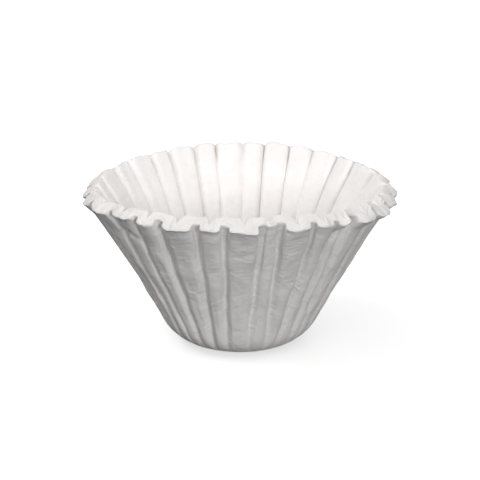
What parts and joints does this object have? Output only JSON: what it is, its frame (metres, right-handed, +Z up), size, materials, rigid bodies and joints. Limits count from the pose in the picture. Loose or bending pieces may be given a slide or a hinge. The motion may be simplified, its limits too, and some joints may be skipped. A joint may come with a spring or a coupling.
{
  "type": "paper coffee filter",
  "caption": "Flat-bottomed fluted basket filter, one round sheet of white paper pressed into a flaring cup that holds ground coffee in a brewer.",
  "frame": {"origin": "middle of the underside of the flat base", "axes": "+Z up the axis of the flutes towards the open rim; the flutes repeat all round, so X and Y are free"},
  "size_m": [0.2466, 0.2466, 0.1293],
  "materials": {
    "paper": "soft matte bleached filter paper with a fine crepe"
  },
  "bodies": {
    "root": {"coffee_filter": "paper"}
  },
  "joints": []
}
